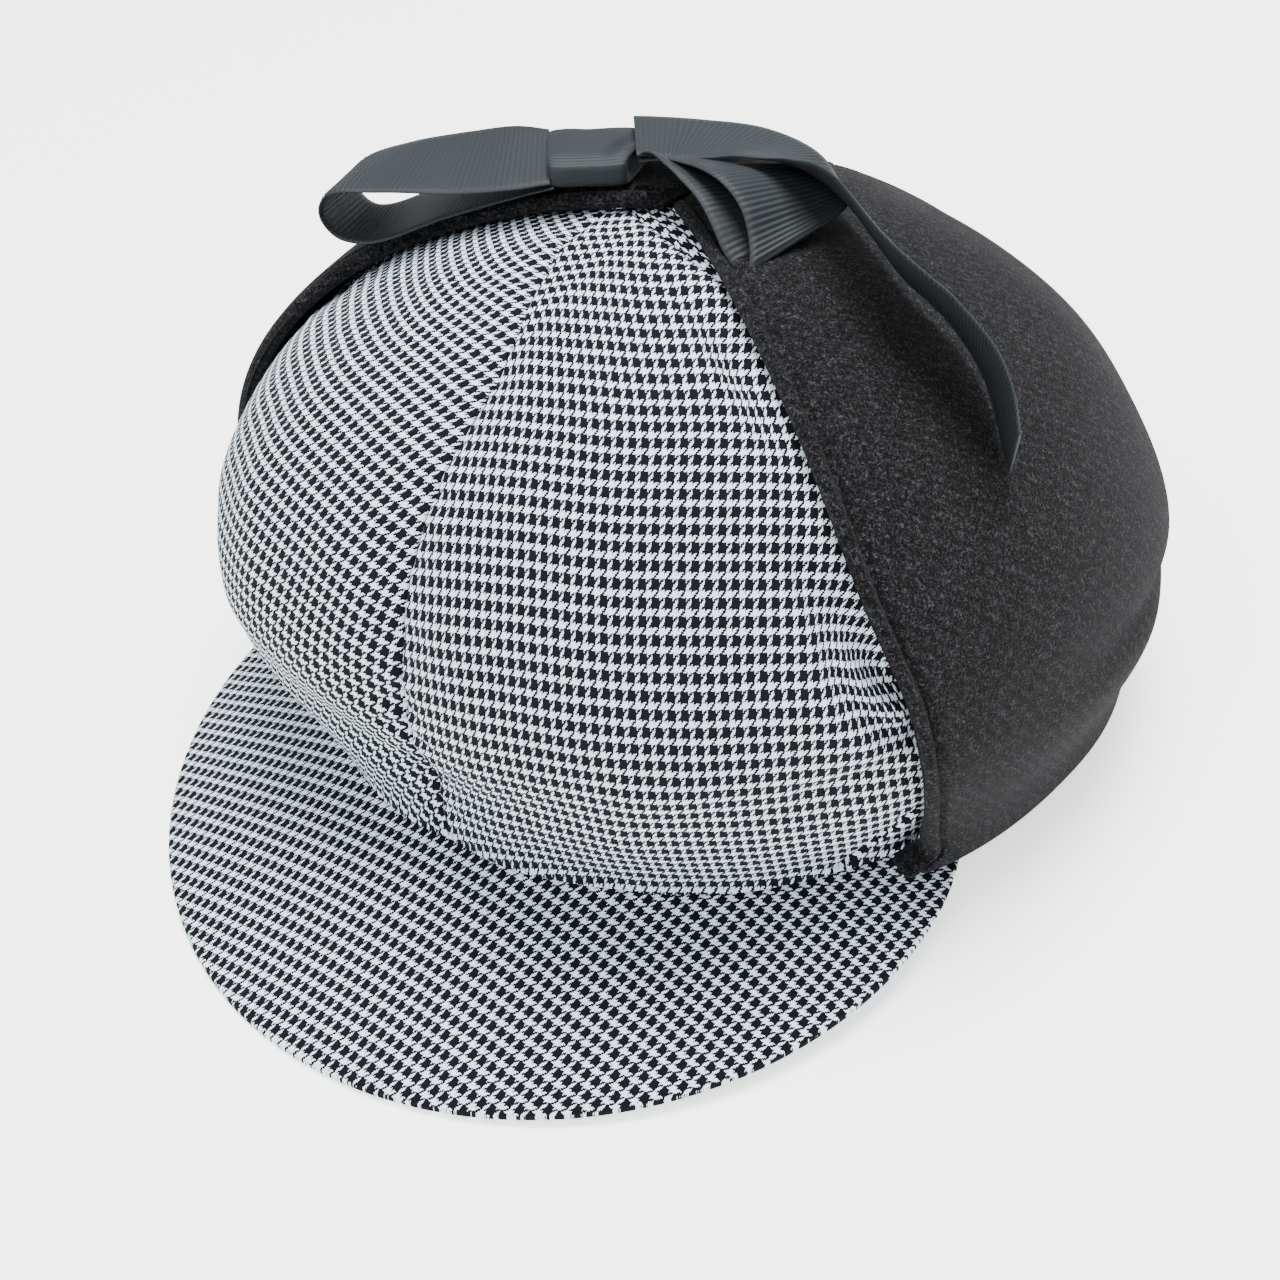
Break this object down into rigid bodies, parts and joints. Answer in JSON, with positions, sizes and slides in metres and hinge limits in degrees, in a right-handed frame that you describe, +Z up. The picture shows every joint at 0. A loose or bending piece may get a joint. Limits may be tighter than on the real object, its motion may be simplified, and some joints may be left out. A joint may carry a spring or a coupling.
{
  "type": "deerstalker-style peaked cap with tied-up ear flaps",
  "caption": "Soft houndstooth cap with a front peak, two ear flaps folded up over the crown and a ribbon bow that ties them on top.",
  "frame": {"origin": "middle of the hat seen from above, on the surface that it stands on", "axes": "+Z up, -Y towards the peak, +X towards the wearer's left"},
  "size_m": [0.2054, 0.2358, 0.1415],
  "materials": {
    "houndstooth_cotton": "matte woven",
    "black_wool": "matte brushed",
    "grosgrain_ribbon": "satin ribbed"
  },
  "bodies": {
    "root": {"crown_front_left": "houndstooth_cotton", "crown_front_right": "houndstooth_cotton", "crown_side_left": "houndstooth_cotton", "crown_side_right": "houndstooth_cotton", "crown_back_left": "houndstooth_cotton", "crown_back_right": "houndstooth_cotton", "peak": "houndstooth_cotton", "ear_flap_left": "black_wool", "ear_flap_right": "black_wool", "ribbon_knot": "grosgrain_ribbon", "bow_loop_right": "grosgrain_ribbon", "bow_loop_left": "grosgrain_ribbon", "bow_tail_left": "grosgrain_ribbon", "bow_tail_right": "grosgrain_ribbon"}
  },
  "joints": []
}
